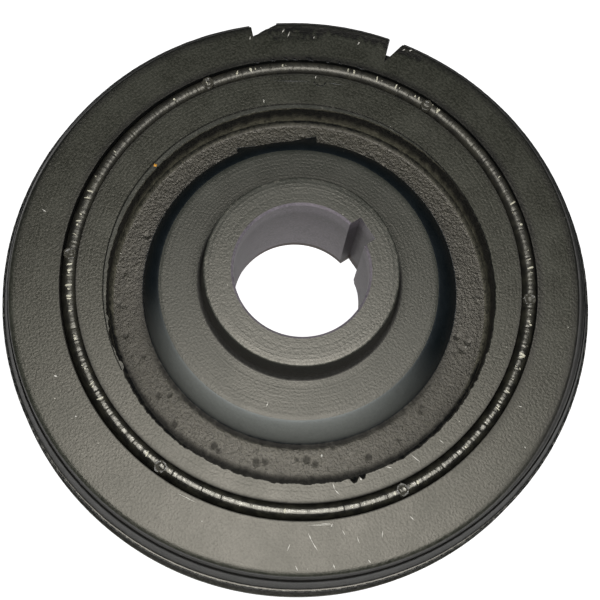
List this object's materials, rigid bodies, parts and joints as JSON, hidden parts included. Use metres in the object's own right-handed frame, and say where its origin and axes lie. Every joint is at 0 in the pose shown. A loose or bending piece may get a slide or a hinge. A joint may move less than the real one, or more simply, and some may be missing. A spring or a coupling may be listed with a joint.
{
  "type": "harmonic balancer",
  "caption": "Crankshaft harmonic balancer: keyed cast hub, bonded rubber ring and grooved outer inertia ring with timing notches.",
  "frame": {"origin": "on the bore axis, in the plane of the hub's rear seat, which is the bottom of the part", "axes": "+Z along the bore axis, from the rear seat towards the nose; +Y through the middle of the keyway"},
  "size_m": [0.1574, 0.1574, 0.0358],
  "materials": {
    "hub_iron": "satin charcoal coat, turned faces and a rough cast channel",
    "bonded_rubber": "glossy black, moulded in place",
    "ring_iron": "satin charcoal coat, turned"
  },
  "bodies": {
    "root": {"hub": "hub_iron", "rubber_ring": "bonded_rubber", "inertia_ring": "ring_iron"}
  },
  "joints": []
}
